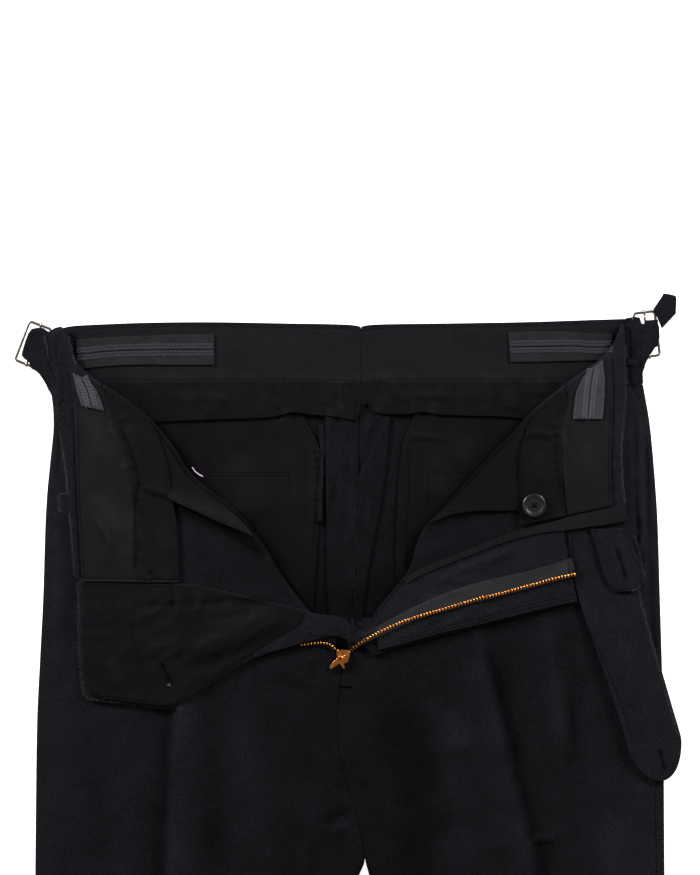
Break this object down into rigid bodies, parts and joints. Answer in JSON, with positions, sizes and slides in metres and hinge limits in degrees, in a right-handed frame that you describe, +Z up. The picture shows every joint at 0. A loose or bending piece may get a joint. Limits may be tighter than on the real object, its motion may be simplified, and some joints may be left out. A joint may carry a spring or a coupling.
{
  "type": "flannel trousers",
  "caption": "Dark flannel trousers laid flat on their back, fly unzipped and both fronts turned outwards to show the lined waist, with side adjusters and a long waistband tab.",
  "frame": {"origin": "middle of the box's underside, on the surface that the garment lies on", "axes": "+Y runs from the hems to the waist, +X to the wearer's left, +Z up off the surface"},
  "size_m": [0.4956, 1.1808, 0.0154],
  "materials": {
    "flannel": "matt milled flannel with a short nap",
    "lining": "matt twill lining",
    "grip_tape": "ribbed woven tape",
    "zip_tape": "woven tape",
    "zip_metal": "polished",
    "buckle_metal": "polished",
    "button": "satin horn"
  },
  "bodies": {
    "garment": {"front_right": "flannel", "front_left": "flannel", "back_right": "flannel", "back_left": "flannel", "waistband_front_right": "flannel", "waistband_front_left": "flannel", "waistband_back_right": "flannel", "waistband_back_left": "flannel", "inlay_right": "flannel", "inlay_left": "flannel", "hanger_loop": "flannel", "fly_shield": "flannel", "fly_facing": "flannel", "inner_tab": "flannel", "adjuster_strap_right": "flannel", "adjuster_strap_left": "flannel", "adjuster_strap_tip_left": "flannel", "pocket_bag_back_right": "lining", "pocket_bag_back_left": "lining", "lining_waist_back_right": "lining", "lining_waist_back_left": "lining", "curtain_back_right": "lining", "curtain_back_left": "lining", "pocket_bag_front_right": "lining", "lining_waist_front_right": "lining", "curtain_front_right": "lining", "shield_lining": "lining", "pocket_bag_front_left": "lining", "lining_waist_front_left": "lining", "curtain_front_left": "lining", "bound_strip": "lining", "grip_tape_back_right": "grip_tape", "grip_tape_back_left": "grip_tape", "grip_tape_front_right": "grip_tape", "grip_tape_front_left": "grip_tape", "zip_tape_left": "zip_tape", "zip_tape_right": "zip_tape", "zip_slider": "zip_metal", "adjuster_buckle_right": "buckle_metal", "adjuster_buckle_left": "buckle_metal", "button_inner": "button"},
    "pull": {"zip_pull": "zip_metal"}
  },
  "joints": [
    {"name": "zip_pull_hinge", "type": "hinge", "parent": "garment", "child": "pull", "pos_m": [-0.00475, 0.32265, 0.00985], "axis": [-0.5708, 0.8211, 0], "range_deg": [0, 165]}
  ]
}
